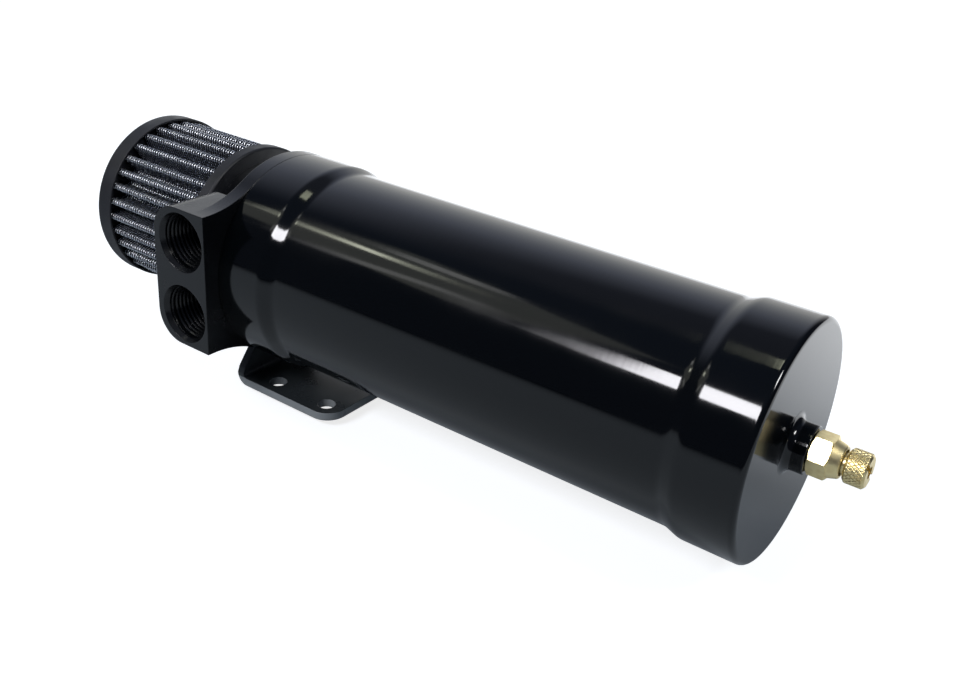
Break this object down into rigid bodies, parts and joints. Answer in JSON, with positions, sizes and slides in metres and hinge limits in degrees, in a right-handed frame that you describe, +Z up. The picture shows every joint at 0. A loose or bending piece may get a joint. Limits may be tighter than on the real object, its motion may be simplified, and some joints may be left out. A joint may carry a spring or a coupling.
{
  "type": "oil catch can",
  "caption": "Cylindrical breather oil catch can with swaged collars, billet port head, clamp-on pleated filter, wall bracket and brass drain petcock.",
  "frame": {"origin": "middle of the bracket's four bolt holes, on the face that meets the wall", "axes": "+Z up along the can, towards the filter; +Y out of the bracket into the wall; -X out of the ports"},
  "size_m": [0.0897, 0.0913, 0.3175],
  "materials": {
    "gloss_black": "gloss black coat over spun aluminium",
    "satin_black": "satin black anodised, machined",
    "sheet_black": "semi-gloss black coat on bent sheet",
    "filter_rubber": "moulded, matt",
    "seal_rubber": "smooth",
    "mesh_steel": "woven wire over dark gauze",
    "wire_steel": "knitted wire",
    "clamp_steel": "bright pressed steel",
    "screw_steel": "black oxide",
    "plain_aluminium": "mill finish",
    "brass": "turned and knurled",
    "nylon": "natural"
  },
  "bodies": {
    "can": {"can_body": "gloss_black", "head": "satin_black", "head_seal": "seal_rubber", "lower_screen": "plain_aluminium", "wire_pad": "wire_steel", "upper_screen": "plain_aluminium", "filter_neck": "satin_black", "filter_base": "filter_rubber", "filter_element": "mesh_steel", "filter_cap": "filter_rubber", "clamp_band": "clamp_steel", "clamp_housing": "clamp_steel", "bracket": "sheet_black", "bracket_washers": "screw_steel", "bracket_screws": "screw_steel", "drain_bung": "gloss_black", "petcock_body": "brass", "petcock_seal": "seal_rubber"},
    "needle": {"petcock_needle": "nylon"},
    "knob": {"petcock_knob": "brass"},
    "worm_screw": {"clamp_screw": "clamp_steel"}
  },
  "joints": [
    {"name": "petcock_lift", "type": "slide", "parent": "can", "child": "needle", "axis": [0, 0, -1], "range_m": [0, 0.0025]},
    {"name": "petcock_turn", "type": "hinge", "parent": "needle", "child": "knob", "pos_m": [0, -0.0515, -0.2], "axis": [0, 0, -1], "range_deg": [0, 900]},
    {"name": "clamp_screw_turn", "type": "hinge", "parent": "can", "child": "worm_screw", "pos_m": [0.0333, -0.0515, 0.0372], "axis": [0, -1, 0], "range_deg": [0, 1800]}
  ],
  "couplings": [
    {"joint": "petcock_turn", "follows": "petcock_lift", "rad_per_m": 6283}
  ]
}
